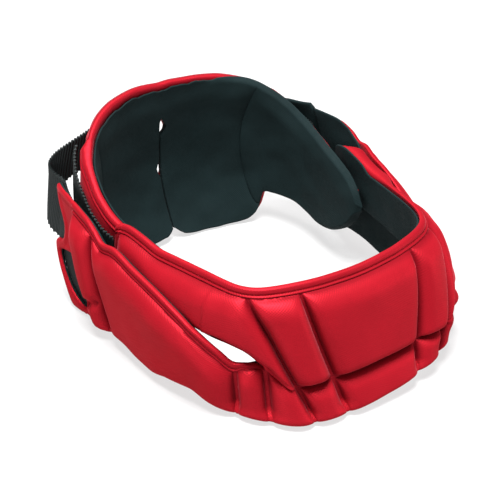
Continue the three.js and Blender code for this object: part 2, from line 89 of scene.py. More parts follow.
# Front pad
frontShape = {
    "topLevel": 67.5,
    "slitRoot": 51,
    "plan": [  # s, x, y, lean
        (0, 0, 0, .31), (20, 20, 1.2, .32), (38, 38, 5, .33), (50, 49, 9.6, .235), (57, 54.6, 14, .16),
        (66, 59.3, 21.5, .14), (80, 63.3, 35, .13), (98, 67, 52.5, .1), (116, 70, 70.3, .06),
        (134, 72.5, 88, .03), (149, 74.5, 103, 0), (166, 76.5, 120, 0), (183, 77.3, 137, 0),
        (200, 76.3, 154, 0), (215, 73.5, 168.5, 0), (230, 66, 181, 0)],
    "edges": [  # s, bottom, top
        (0, 0, 68), (39, 0, 68.5), (60, 0, 68), (68, .8, 68), (80, 4.2, 67.4), (94, 3.4, 66.3),
        (107, .8, 65.6), (118, 1.4, 65), (132, 3.4, 66.8), (142, 3.6, 67.8), (151, 2.6, 66.5), (162, 2.2, 66),
        (172, 1.4, 66), (183, .4, 66), (215, 3, 66)],
    "tier": [(0, 19.5), (24, 19.5), (39, 19.5), (51, 27.5)],
    "slit": [  # s, top of the lower arm, bottom of the upper arm
        (51, 27.5, 27.5), (54, 29.2, 30.2), (57, 29.8, 32.8), (60.5, 30, 34.4), (67, 36, 35.4),
        (76, 42.8, 35.2), (85, 47.6, 35.4), (96, 51.5, 36.2), (105, 53.8, 37.4), (125, 58, 38),
        (140, 61.2, 39), (150.5, 59.2, 43), (158, 63, 43), (167, 66, 43), (183, 66.6, 43),
        (200, 65.6, 43), (213, 63.6, 43)],
    "flare": [  # s, how far the lower arm stands out at its bottom and at its top
        (51, 0, 0), (57, 0, 3.5), (66, 0, 8), (74, .5, 11), (82, 1.5, 12.5), (92, 2.8, 12.6),
        (106, 4.2, 12), (128, 4.2, 11), (149, 5, 9.5), (166, 6.5, 6.5), (183, 7.5, 3.5),
        (200, 9.5, 1.5), (215, 8, 0), (230, 5, 0)],
    "wall": [(0, 11, 11), (48, 11.5, 11), (75, 9.5, 10.8), (120, 7.6, 10.4), (150, 7.6, 10.4), (180, 7.4, 10)],
    "upperGrooves": {"middle": (0, 0), "second": (23.5, 35), "first": (40, 60.5), "root": (51, 74),
                     "end": (153, 153)},
    "lowerGrooves": {"middle": (0, 0), "second": (20, 23.5), "first": (33.5, 40), "root": (49.5, 51),
                     "square": (59, 60.5), "long": (145, 161), "panel": (159, 183.5)},
    "upperCells": [  # from, to, left side, right side, bottom, columns
        ("middle", "second", "open", "groove", "groove", 20), ("second", "first", "groove", "groove", "groove", 24),
        ("first", "root", "groove", "open", "fades", 20), ("root", "end", "open", "hem", "hem", 74)],
    "lowerCells": [  # from, to, left side, right side, top, columns
        ("middle", "second", "open", "groove", "groove", 20), ("second", "first", "groove", "groove", "groove", 22),
        ("first", "root", "groove", "groove", "fades", 20), ("root", "square", "groove", "groove", "hem", 20),
        ("square", "long", "groove", "groove", "hem", 74), ("long", "panel", "groove", "seam", "hem", 28)],
    "endCut": (149, 24, 169, 16.6),  # short groove across the end cell: s, z to s, z
    "endRound": 4.5,
    "upperRows": 34,
    "lowerRows": 30,
    "panelEdge": [
        (181, .8), (185.6, 1.6), (189.2, 6.8), (194, 14.4), (199.8, 21.8), (204.4, 28), (206, 32), (203.6, 34.8),
        (197.5, 36.6), (194.6, 39.8), (194, 46.5), (197, 50.8), (204, 55.5), (212, 62), (213, 63.6),
        (205, 65), (195, 66)],
    "panelSlot": [
        (167.6, 11), (173, 4.2), (184.3, 8.4), (191.6, 16.2), (200.2, 27.6), (198.6, 30.8), (184.4, 34.4),
        (176.4, 33), (170.6, 22)],
}
hemShape = {
    "groove": .8, "top": 4.6, "bottom": 1.3, "slit": 4.6, "end": 5, "rearTop": 5, "rearBottom": 3,
    "wall": 3, "rearWall": 3.8, "panelWall": 1.8, "grooveWall": 3.4, "edgeWall": 2.4, "innerWall": 3.3,
    # the entry after edgeRound is how much painted shade is laid over the hems
    "roll": 5.4, "armRoll": 7, "longRoll": 7.4, "topRoll": 1.5, "bottomRoll": .75, "edgeRound": .7, "press": .4,
    "runOut": (.8, 7),  # grooves get shallow towards the bottom hem: share, reach
    "cut": (4, .8),  # roll and depth of a short groove
    "stitchFromEdge": 3, "rootEase": 10,
    "band": .28, "stitchDip": (.35, .42), "ridge": (.45, .95, .5), "dip": (.4, .45),  # height, way off, width
}
softness = {"swell": .3, "length": 24, "waves": 7, "crown": .12, "seed": 4}

planX, planY, lean = [curveThrough(frontShape["plan"], i, i != 1) for i in (1, 2, 3)]
frontBottom, frontTop = [curveThrough(frontShape["edges"], i) for i in (1, 2)]
tierAt = curveThrough(frontShape["tier"], 1)
slitLower, slitUpper = [curveThrough(frontShape["slit"], i, False) for i in (1, 2)]
flareLow, flareHigh = [curveThrough(frontShape["flare"], i) for i in (1, 2)]
upperWall, lowerWall = [curveThrough(frontShape["wall"], i) for i in (1, 2)]
slitRoot = frontShape["slitRoot"]


def tierOrSlit(slit):  # the tiers meet as far as the root of the slit
    return lambda s: np.where(s <= slitRoot, tierAt(np.minimum(s, slitRoot)), slit(np.maximum(s, slitRoot)))


lowerTop, upperBottom = tierOrSlit(slitLower), tierOrSlit(slitUpper)


def lowerShare(s, z):  # share of the lower arm's height
    return np.clip((z - frontBottom(s)) / (lowerTop(s) - frontBottom(s)), 0, 1)


def endEase(s):  # rounds the end of the upper arm
    end, size = frontShape["upperGrooves"]["end"][0], frontShape["endRound"]
    t = np.clip((np.asarray(s, float) - end) / size + 1, 0, 1)
    return size * (1 - np.sqrt(1 - t * t)) * .9


def armTop(s):
    return frontTop(s) - endEase(s)


def armBottom(s):
    return upperBottom(s) + endEase(s)


def outward(xAt, yAt, s, sense):  # level direction away from the head
    back = np.maximum(0, s - .5)
    dx = np.where(s < 1e-9, 1, xAt(s + .5) - xAt(back))
    dy = np.where(s < 1e-9, 0, yAt(s + .5) - yAt(back))
    size = np.hypot(dx, dy)
    return np.stack([sense * dy / size, -sense * dx / size, np.zeros_like(size)], -1)


def frontFace(s, z):
    s, z = gridArrays(s, z)
    out = outward(planX, planY, s, 1)
    place = np.stack([planX(s), planY(s), z], -1)
    return place + out * (lean(s) * (frontShape["topLevel"] - z))[..., None], out


def lowerFace(s, z):
    s, z = gridArrays(s, z)
    place, out = frontFace(s, z)
    stand = np.where(s < slitRoot, 0, lerp(flareLow(s), flareHigh(s), lowerShare(s, z)))
    return place + out * stand[..., None], out


# Rear pad
rearShape = {
    "midLevel": 45,
    "topLevel": 97,
    "plan": [  # s, x, y, drawn in at the top and at the bottom, top, bottom
        (0, 0, 184, 8, 17, 98, 6), (4, 4, 183.95, 8, 17, 98.3, 3.2), (8, 8, 183.8, 8, 17, 98.6, 1.2),
        (20, 20, 182.3, 8, 16, 98.8, 0), (37, 36, 176.5, 6.5, 14, 97.6, 0), (50, 47, 169.5, 5, 10, 94.8, .3),
        (58, 53.3, 164.4, 4.5, 8, 92.3, 1.5), (63, 56.9, 160.9, 4.2, 7, 90.4, 4.5),
        (66, 58.9, 158.6, 4, 6.5, 89, 9), (68.5, 60.4, 156.4, 4, 6, 87.8, 18.5),
        (72, 62.3, 153.4, 3.7, 5.6, 86, 19.6), (80, 65.8, 146.3, 3, 5, 81.8, 19.6),
        (90, 68.4, 136.6, 2.3, 4.3, 76.2, 19.6), (100, 69.8, 126.7, 1.7, 3.7, 70.8, 18),
        (108, 69.9, 118.7, 1.3, 3.2, 67, 16.2), (116, 69.2, 110.7, 1, 3, 64, 15),
        (128, 67.6, 98.8, 0, 3, 61, 17), (140, 66.2, 86.9, 0, 3, 57, 23.5), (148, 65.4, 79, 0, 3, 51, 31),
        (152, 65, 75, 0, 3, 45, 38)],
    "wall": [(0, 9), (48, 9), (64, 6.5), (104, 6.2), (120, 4)],
    "wingEnd": 152,
    "crease": (67.5, 66, -14),  # s at the bottom, s at the top, bow
    "slitTop": 77.5,
    "slitHalf": .5,
    "slitGaps": {False: [(67, 7, 6), (40, 6, 2.8)], True: [(41.5, 5.5, 1.7)]},  # height, reach, opening
    "liningGaps": {False: [(72.4, 5.6, 3.4)], True: [(44.4, 4.8, 2)]},
    "topRoll": (10.5, 3.8, 52, 90),  # edge thickness at the back, on the wings, from s, to s
    "topBlunt": .5,
    "lipWall": 2.6,
    "lipHem": 9.5,
    "rows": 54,
    "innerColumns": 44,
    "wingColumns": 62,
}
rearX, rearY, rearHigh, rearLow, rearTop, rearBottom = [
    curveThrough(rearShape["plan"], i, i != 1) for i in range(1, 7)]
rearWall = curveThrough(rearShape["wall"], 1)


def rearFace(s, z):
    s, z = gridArrays(s, z)
    mid = rearShape["midLevel"]
    above = np.maximum(0, z - mid) / (rearShape["topLevel"] - mid)
    below = np.maximum(0, mid - z) / mid
    drawn = rearHigh(s) * above ** 2 + rearLow(s) * below ** 1.7
    out = outward(rearX, rearY, s, -1)
    return np.stack([rearX(s), rearY(s), z], -1) - out * drawn[..., None], out


def rearSlit(gaps, extra):
    def at(b):
        z = lerp(rearBottom(0), rearTop(0), b)
        gap = np.max([o * np.maximum(0, 1 - ((z - c) / r) ** 2) for c, r, o in gaps], axis=0)
        return np.where(z >= rearShape["slitTop"], 0, rearShape["slitHalf"] + extra + gap)
    return at


def rearCrease(b):
    low, high, bow = rearShape["crease"]
    return lerp(low, high, b) + bow * 4 * b * (1 - b)


# Grids on a face, and the two skins of a padded cell
hemSteps = np.array([0, .02, .06, .12, .2, .3, .42, .52, .58, .63, .68, .74, .8, .86, .92, .96])
grooveSteps = np.array([0, .5])


def spreadRows(width, startFlat, endFlat, steps, startMarks, endMarks):
    inside = lerp(startFlat, width - endFlat, .5 - .5 * np.cos(np.pi * np.arange(steps + 1) / steps))
    return np.concatenate([startFlat * startMarks, inside, (width - endFlat * endMarks)[::-1]]) / width


def quadsOf(shape):
    index = np.arange(shape[0] * shape[1]).reshape(shape)
    return np.stack([index[:-1, :-1], index[1:, :-1], index[1:, 1:], index[:-1, 1:]], -1).reshape(-1, 4)


def faceGrid(face, s, z, faces=None):
    place, out = face(s, z)
    return {"s": s, "z": z, "place": place, "out": out, "faces": faces}


def cellGrid(face, left, right, bottom, top, flat, steps, marks):
    columns = steps[0] + 1 + len(marks["left"]) + len(marks["right"])
    s, z, a = [], [], []
    for i in range(columns):
        middle = lerp(left(.5), right(.5), i / (columns - 1))
        height = top(middle) - bottom(middle)
        b = spreadRows(height, flat["bottom"](middle), flat["top"](middle), steps[1], marks["bottom"], marks["top"])
        width = right(b) - left(b)
        share = np.array([spreadRows(w, flat["left"], flat["right"], steps[0], marks["left"], marks["right"])[i]
                          for w in np.broadcast_to(width, b.shape)])
        way = lerp(left(b), right(b), share)
        s.append(way)
        z.append(lerp(bottom(way), top(way), b))
        a.append(share)
    s, z, a = np.array(s), np.array(z), np.array(a)
    middle = lerp(left(.5), right(.5), np.linspace(0, 1, columns)[:, None] + 0 * s)
    rowShare = (z - bottom(s)) / (top(s) - bottom(s))
    width = right(rowShare) - left(rowShare)
    flats = {"left": flat["left"] + 0 * s, "right": flat["right"] + 0 * s,
             "bottom": flat["bottom"](middle) + 0 * s, "top": flat["top"](middle) + 0 * s}
    reach = {"left": a * width - flats["left"], "right": (1 - a) * width - flats["right"],
             "bottom": z - bottom(s) - flats["bottom"], "top": top(s) - z - flats["top"]}
    return {**faceGrid(face, s, z, quadsOf(s.shape)), "a": a, "reach": reach, "flats": flats}


def pillow(reach, roll):
    t = np.clip(1 - reach / roll, 0, 1)
    return np.sqrt(1 - t * t)


randomWaves = np.random.default_rng(softness["seed"])
waves = [(randomWaves.uniform(-1, 1, 2), randomWaves.uniform(0, 6.28)) for _ in range(softness["waves"])]


def swell(s, z):  # slow unevenness of soft foam
    total = 0
    for way, phase in waves:
        total = total + np.sin((way[0] * s + way[1] * z) * 6.28 / softness["length"] + phase)
    return total * softness["swell"] / 3


def hemLines(r, flat):  # folded band, stitch line, ridge and dip of a hem, r from its edge
    size = np.clip((flat - 2) / 2.6, 0, 1)
    at = hemShape["stitchFromEdge"] * flat / hemShape["top"]
    band = hemShape["band"] * np.sin(np.pi * np.clip(r / at, 0, 1))
    (sunk, sunkWidth), (ridge, ridgeOff, ridgeWidth) = hemShape["stitchDip"], hemShape["ridge"]
    dip, dipWidth = hemShape["dip"]
    return size * (band - sunk * bell(r - at, sunkWidth) + ridge * bell(r - at - ridgeOff, ridgeWidth)
                   - dip * bell(r - flat, dipWidth))


def cellSkins(grid, sides, full, hem=(hemShape["edgeWall"], hemShape["innerWall"]),
              edgeRound=hemShape["edgeRound"], cuts=(), roll=hemShape["roll"], blunt=1):
    s, z, a, reaches, flats = [grid[key] for key in ("s", "z", "a", "reach", "flats")]
    (edgeWall, innerWall), groove = hem, hemShape["grooveWall"]
    (runOut, runReach), (cutRoll, cutDepth) = hemShape["runOut"], hemShape["cut"]
    rise, floor, crown, nearest, inHem = 1, 99, 1, 99, 99
    for side, kind in sides.items():
        if kind == "open":
            continue
        reach, upright = reaches[side], side in ("left", "right")
        if kind == "hem" and side != "bottom":
            inHem = np.minimum(inHem, reach)
        share = ramp(a, 0, 1) if kind == "fades" else 1
        if upright and kind == "groove" and sides["bottom"] == "hem":
            share = lerp(1 - runOut, 1, ramp(reaches["bottom"], 0, runReach))
        wide = roll
        if kind in ("hem", "fades") and not upright:
            wide = roll * lerp(1, hemShape[side + "Roll"], share)
        rise = rise * lerp(1, pillow(reach, wide), share)
        if side == "left" and sides["right"] == "open":  # no step where the next cell goes on
            share = share * (1 - ramp(a, .2, 1))
        crown = crown * lerp(1, 1 - softness["crown"] * (1 - pillow(reach, 3 * roll)), share)
        away = np.abs(reach)
        if upright:
            away = away + 4 * np.maximum(0, -np.minimum(reaches["bottom"], reaches["top"]))
        nearest = np.minimum(nearest, lerp(20, away, share))
        if kind in ("groove", "fades"):
            wall = lerp(groove, innerWall, np.clip(reach / roll, 0, 1))
        else:
            inner = rearShape["lipWall"] if kind == "lip" else innerWall
            hemShare = np.clip(1 + reach / np.maximum(flats[side], .1), 0, 1)
            wall = lerp(np.minimum(edgeWall, inner), inner, hemShare ** .8)
        floor = np.minimum(floor, wall)
    for cut in cuts:  # short grooves drawn across a cell
        away = toLine(np.stack([s.ravel(), z.ravel()], -1), np.reshape(cut, (2, 2)), False).reshape(s.shape)
        rise = rise * lerp(1, pillow(away, cutRoll), cutDepth)
        nearest = np.minimum(nearest, away)
    high = floor + (full * crown - floor + swell(s, z)) * rise
    edge = 1
    for side, kind in sides.items():
        r = reaches[side] + flats[side]
        if kind == "hem":
            high = high + hemLines(r, flats[side]) * (1 - rise)
            edge = np.minimum(edge, pillow(r, edgeRound) ** (blunt if side == "top" else 1))
        if kind == "lip":
            below = ramp(rearShape["slitTop"] - z, .5, 5)
            edge = np.minimum(edge, lerp(1, pillow(r, hemShape["edgeRound"]), below))
    middle = edgeWall / 2
    # painted shade: the colour is darkened along the grooves and over the hems, where shade falls
    pressed = np.maximum(bell(nearest, .9), hemShape["press"] * ramp(-inHem, -.6, .6))
    return middle - middle * edge, middle + (high - middle) * edge, pressed + 0 * rise


# The soft guard stands unevenly: the wearer's left arm is lifted and leans in, its temple bulges
sag = {
    "lift": 7.5, "liftFrom": (66, 126), "out": 2.5,
    "crest": (1.4, 119, 21), "endLift": (-1.5, 155, 190),  # most, at s, length; most, from s, to s
    "leanIn": 6, "leanFrom": (66, 96), "leanTo": (126, 156), "foot": 6.6, "nearLean": 3,
    "bulge": (4.5, 54, 22), "bulgeUp": [(0, -1.7), (10, -.3), (22, 1.3), (38, 1.05), (67, .05)],  # z, share
    "footFrom": (-25, 50), "footTop": 30, "nearFrom": (60, 100), "nearUp": (43, 24), "middle": 20,
    "rearTilt": 1.2, "rearLift": .5, "rearTop": 98, "rearFoot": 2.4, "rearFootFrom": 12, "rearFootTop": 60,
    "rearTo": (45, 85),
}
bulgeUp = curveThrough(sag["bulgeUp"], 1, False)
upwards = np.array([0, 0, 1])


def liftShare(s):
    return ramp(s, *sag["liftFrom"])


def leanIn(s, share):
    return sag["leanIn"] * share ** 2 * ramp(s, *sag["leanFrom"]) * (1 - ramp(s, *sag["leanTo"]))


def settle(grid, mirrored, lower):
    place, out, s, z = grid["place"], grid["out"], grid["s"], grid["z"]
    foot = sag["foot"] * ramp(-s if mirrored else s, *sag["footFrom"]) * (1 - ramp(z, 0, sag["footTop"]))
    foot = foot * (1 - liftShare(s))
    place = place + foot[..., None] * upwards
    shift = 0 * s
    if mirrored and not lower:
        begin, height = sag["nearUp"]
        shift = -sag["nearLean"] * ramp(s, *sag["nearFrom"]) * np.clip((z - begin) / height, 0, 1)
    if not mirrored:
        bulge, at, length = sag["bulge"]
        shift = bulge * bell(s - at, length) * bulgeUp(z) * ramp(s, 0, sag["middle"])
    if lower and not mirrored:
        (crest, at, length), (endLift, begin, end) = sag["crest"], sag["endLift"]
        share = lowerShare(s, z)
        shift = shift + liftShare(s) * sag["out"] - leanIn(s, share)
        lift = liftShare(s) * sag["lift"] + crest * bell(s - at, length) * share + endLift * ramp(s, begin, end)
        place = place + lift[..., None] * upwards
    return {**grid, "place": place + out * shift[..., None]}


def settleRear(grid, mirrored):
    s, z = grid["s"], grid["z"]
    tilt = sag["rearTilt"] * ramp(s, 0, sag["middle"]) * (1 if mirrored else -1) + sag["rearLift"]
    tilt = tilt * (z / sag["rearTop"]) ** 2
    if mirrored:
        tilt = tilt + sag["rearFoot"] * ramp(s, 0, sag["rearFootFrom"]) * (1 - ramp(z, 0, sag["rearFootTop"]))
    return {**grid, "place": grid["place"] + (tilt * (1 - ramp(s, *sag["rearTo"])))[..., None] * upwards}


armShape = {
    "fullFrom": (66, 80), "shown": {False: (-2, 4), True: (-9, -3)}, "fuller": {False: 2.4, True: 3},
    "roomFrom": (66, 76), "clear": {False: 2.4, True: .6}, "leastRoom": 3,
    "rimFrom": (96, 116), "rimTo": (139, 151), "rimClear": .6, "rimMost": 14, "rimRound": .3,
    "liningRoom": 2, "rollFrom": (74, 100), "endCell": {False: -2, True: 2},
    "brow": (1.2, -2), "browTo": (45, 70), "browLeft": .2,  # fuller at the foot, at the top, share left beyond
}


def upperFull(s, z, mirrored):  # the upper arm is full where it shows above the lower arm
    top = lowerTop(s) + (0 if mirrored else liftShare(s) * sag["lift"])
    begin, end = armShape["shown"][mirrored]
    shown = ramp(z, top + begin, top + end) * ramp(s, *armShape["fullFrom"])
    share = lowerShare(s, z)
    room = lerp(flareLow(s), flareHigh(s), share) - armShape["clear"][mirrored]
    if not mirrored:
        room = room + liftShare(s) * sag["out"] - leanIn(s, share)
    room = lerp(99, np.maximum(room, armShape["leastRoom"]), ramp(s, *armShape["roomFrom"]))
    fuller = armShape["fuller"][mirrored]
    if mirrored:
        return np.minimum(upperWall(s) + fuller * shown, room)
    return lerp(np.minimum(upperWall(s), room), upperWall(s) + fuller, shown)


def armGap(s, z):  # the lifted arm's end is plump, up against the lower arm
    share = np.minimum(lowerShare(s, z - liftShare(s) * sag["lift"]), .95)
    gap = lerp(flareLow(s), flareHigh(s), share) + sag["out"] - leanIn(s, share)
    gap = gap - armShape["rimClear"] - hemShape["edgeWall"] - armShape["liningRoom"] * (1 - ramp(share, .7, .8))
    return np.clip(gap, 0, armShape["rimMost"]) * ramp(s, *armShape["rimFrom"]) * (1 - ramp(s, *armShape["rimTo"]))


def lowerFull(s, z):  # the lower tier of the brow slopes outwards to its foot
    slope = lerp(*armShape["brow"], np.clip(z / lowerTop(s), 0, 1))
    return lowerWall(s) + slope * lerp(1, armShape["browLeft"], ramp(s, *armShape["browTo"]))


def flipOf(mirrored):
    return np.array([-1 if mirrored else 1, 1, 1])


def newPiece():
    return {"place": [], "out": [], "low": [], "high": [], "press": [], "weave": [], "faces": [], "count": 0}


def addPatch(piece, grid, low, high, press, mirrored, turned=False):
    flip, s, z = flipOf(mirrored), grid["s"], grid["z"]
    place = grid["place"].reshape(-1, 3) * flip
    piece["place"].append(place)
    piece["out"].append(grid["out"].reshape(-1, 3) * flip)
    piece["weave"].append(np.stack([s.ravel() * flip[0], z.ravel(), 0 * z.ravel()], -1))
    for key, value in (("low", low), ("high", high), ("press", press)):
        piece[key].append((value + 0 * s).ravel())
    faces = grid["faces"] + piece["count"]
    piece["faces"].append(faces[:, ::-1] if mirrored != turned else faces)
    piece["count"] += len(place)


def linkObject(name, data):
    obj = bpy.data.objects.new(name, data)
    bpy.context.collection.objects.link(obj)
    return obj


def finishPiece(piece, name):  # weld the patches, close the two skins with a rim
    place, out, low, high, press, weave = [
        np.concatenate(piece[key]) for key in ("place", "out", "low", "high", "press", "weave")]
    key = np.round(place * 200 + .123).astype(np.int64)
    _, first, same = np.unique(key, axis=0, return_index=True, return_inverse=True)
    same = same.ravel()
    inner = place[first] + out[first] * low[first][:, None]
    outer = place[first] + out[first] * high[first][:, None]
    count = len(first)
    faces = []
    for patch in piece["faces"]:
        for face in same[patch].tolist():
            kept = [v for i, v in enumerate(face) if v != face[i - 1]]
            if len(set(kept)) == len(kept) and len(kept) > 2:
                faces.append(kept)
    edges = {(face[i - 1], face[i]) for face in faces for i in range(len(face))}
    rim = [(a, b) for a, b in edges if (b, a) not in edges]
    verts = np.concatenate([inner, outer]) - [0, browToMiddle, 0]
    allFaces = [[v + count for v in face] for face in faces] + [face[::-1] for face in faces]
    allFaces += [[b + count, a + count, a, b] for a, b in rim]
    mesh = bpy.data.meshes.new(name)
    mesh.from_pydata((verts * toMetres).tolist(), [], allFaces)

    def both(values):
        return np.concatenate([values[first], values[first]]).astype(np.float32).ravel()

    # this attribute carries the painted shade of the grooves and hems to the material
    mesh.attributes.new("press", "FLOAT", "POINT").data.foreach_set("value", both(press))
    mesh.attributes.new("weave", "FLOAT_VECTOR", "POINT").data.foreach_set("vector", both(weave))
    work = bmesh.new()
    work.from_mesh(mesh)
    bmesh.ops.remove_doubles(work, verts=work.verts, dist=2e-6)
    bmesh.ops.triangulate(work, faces=[f for f in work.faces if len(f.verts) > 4])
    work.to_mesh(mesh)
    work.free()
    mesh.shade_smooth()
    mesh.calc_loop_triangles()
    print(name, len(mesh.loop_triangles), "triangles")
    return linkObject(name, mesh)


def grooves(tier, *names):  # upright sides of a cell, by their share of the height
    rows = [frontShape[tier + "Grooves"][name] for name in names]
    return [lambda b, row=row: lerp(*row, np.asarray(b, float)) for row in rows]


def always(value):
    return lambda s: value + 0 * np.asarray(s, float)


def slitFlat(s):
    return lerp(hemShape["groove"], hemShape["slit"], ramp(s, slitRoot, slitRoot + hemShape["rootEase"]))


# End panel of the lower arm
panelShape = {
    "edgeRound": .9, "rimPuff": .7, "rimWidth": 4, "seamEase": 2.5, "step": 1.5,
    "rings": (.2, .5, .95, 1.7, 2.8), "clear": (.16, .4, 3),  # clear of the edge, the seam, the rings
}


def chaikin(points, closed, rounds=3):
    points = np.array(points, float)
    for _ in range(rounds):
        a = points if closed else points[:-1]
        b = np.roll(points, -1, axis=0) if closed else points[1:]
        cut = np.stack([lerp(a, b, .25), lerp(a, b, .75)], 1).reshape(-1, 2)
        points = cut if closed else np.concatenate([points[:1], cut[1:-1], points[-1:]])
    return points


def toLine(points, line, closed):  # distance from points to a drawn line
    a = line if closed else line[:-1]
    b = np.roll(line, -1, axis=0) if closed else line[1:]
    along = b - a
    t = ((points[:, None] - a) * along).sum(-1) / np.maximum((along ** 2).sum(-1), 1e-12)
    foot = a + along * np.clip(t, 0, 1)[..., None]
    return np.sqrt(((points[:, None] - foot) ** 2).sum(-1)).min(1)


def isInside(points, loop):
    x, y = points[:, 0][:, None], points[:, 1][:, None]
    a, b = loop, np.roll(loop, -1, axis=0)
    crosses = (a[:, 1] > y) != (b[:, 1] > y)
    at = a[:, 0] + (y - a[:, 1]) * (b[:, 0] - a[:, 0]) / np.where(b[:, 1] == a[:, 1], 1e-9, b[:, 1] - a[:, 1])
    return (crosses & (x < at)).sum(1) % 2 == 1


def endPanel(grid):  # goes on from the last column of the last cell
    seam = np.stack([grid["s"][-1], grid["z"][-1]], -1)
    free = chaikin([seam[0], *frontShape["panelEdge"], seam[-1]], False)
    slot = chaikin(frontShape["panelSlot"], True)
    loop = np.concatenate([free, seam[::-1][1:-1]])
    low, high = loop.min(0), loop.max(0)
    step = panelShape["step"]
    gs, gz = np.meshgrid(np.arange(low[0], high[0], step), np.arange(low[1], high[1], step), indexing="ij")
    gs = gs + (np.arange(gs.shape[1]) % 2)[None] * step / 2
    points = [np.stack([gs.ravel(), gz.ravel()], -1)]
    for line, signs in ((free, (1, -1)), (slot, (-1, 1))):
        way = np.roll(line, -1, axis=0) - np.roll(line, 1, axis=0)
        normal = np.stack([-way[:, 1], way[:, 0]], -1) / np.maximum(np.linalg.norm(way, axis=1), 1e-9)[:, None]
        points += [line + normal * d * sign for d in panelShape["rings"] for sign in signs]
    points = np.concatenate(points)
    edgeClear, seamClear, ringClear = panelShape["clear"]
    clear = np.minimum(toLine(points, free, False), toLine(points, slot, True))
    keep = isInside(points, loop) & ~isInside(points, slot) & (clear > edgeClear)
    keep &= toLine(points, seam, False) > seamClear
    keep[:gs.size] &= clear[:gs.size] > ringClear
    chosen = []
    for point, near in zip(points[keep], clear[keep]):
        room = .09 + .3 * near if near < ringClear else .5
        if all((point[0] - q[0]) ** 2 + (point[1] - q[1]) ** 2 > room * room for q in chosen[-400:]):
            chosen.append(point)
    verts = [Vector(p) for p in np.concatenate([loop, slot, np.array(chosen)])]
    n, m = len(loop), len(slot)
    lines = [(i, (i + 1) % n) for i in range(n)] + [(n + i, n + (i + 1) % m) for i in range(m)]
    coords, _, faces, *_ = delaunay_2d_cdt(verts, lines, [], 2, 1e-6)
    flat = np.array([c[:2] for c in coords])
    faces = np.array(faces)
    faces = faces[~isInside(flat[faces].mean(1), slot)]
    a, b, c = flat[faces[:, 0]], flat[faces[:, 1]], flat[faces[:, 2]]
    area = (b[:, 0] - a[:, 0]) * (c[:, 1] - a[:, 1]) - (b[:, 1] - a[:, 1]) * (c[:, 0] - a[:, 0])
    faces[area < 0] = faces[area < 0][:, ::-1]
    fromEdge = np.minimum(toLine(flat, free, False), toLine(flat, slot, True))
    return flat[:, 0], flat[:, 1], faces, fromEdge, toLine(flat, seam, False)


def panelSkins(fromEdge, fromSeam, wall):
    wall = wall + (hemShape["innerWall"] - wall) * np.exp(-fromSeam / panelShape["seamEase"])
    puff = panelShape["rimPuff"] * np.sin(np.pi * np.clip(fromEdge / panelShape["rimWidth"], 0, 1))
    edge = pillow(fromEdge, panelShape["edgeRound"])
    return wall / 2 - wall / 2 * edge, wall / 2 + (wall / 2 + puff) * edge


frontTiers = {  # face, bottom and top, their hems, steps in the bottom hem
    "upper": (frontFace, armBottom, armTop, slitFlat, always(hemShape["top"]), hemSteps),
    "lower": (lowerFace, frontBottom, lowerTop, always(hemShape["bottom"]), slitFlat, hemSteps[::2]),
}


def tierGrid(tier, begin, end, columns):
    face, bottom, top, bottomFlat, topFlat, bottomMarks = frontTiers[tier]
    right, rightMarks = ("end", hemSteps) if end == "end" else ("groove", grooveSteps)
    return cellGrid(
        face, *grooves(tier, begin, end), bottom, top,
        {"left": hemShape["groove"], "right": hemShape[right], "bottom": bottomFlat, "top": topFlat},
        (columns, frontShape[tier + "Rows"]),
        {"left": grooveSteps, "right": rightMarks, "bottom": bottomMarks, "top": hemSteps})


frontPad = newPiece()
for mirrored in (False, True):
    for begin, end, left, right, bottom, columns in frontShape["upperCells"]:
        grid = tierGrid("upper", begin, end, columns)
        s, z = grid["s"], grid["z"]
        thick = armGap(s, z) if end == "end" and not mirrored else 0
        hem = (hemShape["edgeWall"] + thick, hemShape["innerWall"] + thick)
        skins = cellSkins(
            grid, {"left": left, "right": right, "bottom": bottom, "top": "hem"},
            np.maximum(upperFull(s, z, mirrored), hem[1]), hem, hemShape["edgeRound"] + armShape["rimRound"] * thick,
            roll=lerp(hemShape["roll"], hemShape["armRoll"], ramp(s, *armShape["rollFrom"])))
        addPatch(frontPad, settle(grid, mirrored, False), *skins, mirrored)
    for begin, end, left, right, top, columns in frontShape["lowerCells"]:
        grid = tierGrid("lower", begin, end, columns)
        last = end == "panel"
        skins = cellSkins(
            grid, {"left": left, "right": right, "bottom": "hem", "top": top},
            lowerFull(grid["s"], grid["z"]) + (armShape["endCell"][mirrored] if last else 0),
            cuts=[frontShape["endCut"]] if last else [],
            roll=hemShape[{"panel": "armRoll", "long": "longRoll"}.get(end, "roll")])
        addPatch(frontPad, settle(grid, mirrored, True), *skins, mirrored)
    s, z, faces, fromEdge, fromSeam = endPanel(grid)
    skins = panelSkins(fromEdge, fromSeam, hemShape["panelWall"])
    addPatch(frontPad, settle(faceGrid(lowerFace, s, z, faces), mirrored, True), *skins, 0, mirrored)
frontPadObject = finishPiece(frontPad, "FrontPad")

rearHem = {"edge": .85, "fuller": 1, "round": .42, "rearBottom": .3, "rearTop": .5}  # last two: most of the height


def rearFlat(name):  # hem of the rear pad, narrower at the tip of the wing
    return lambda s: np.minimum(hemShape[name], rearHem[name] * (rearTop(s) - rearBottom(s)))


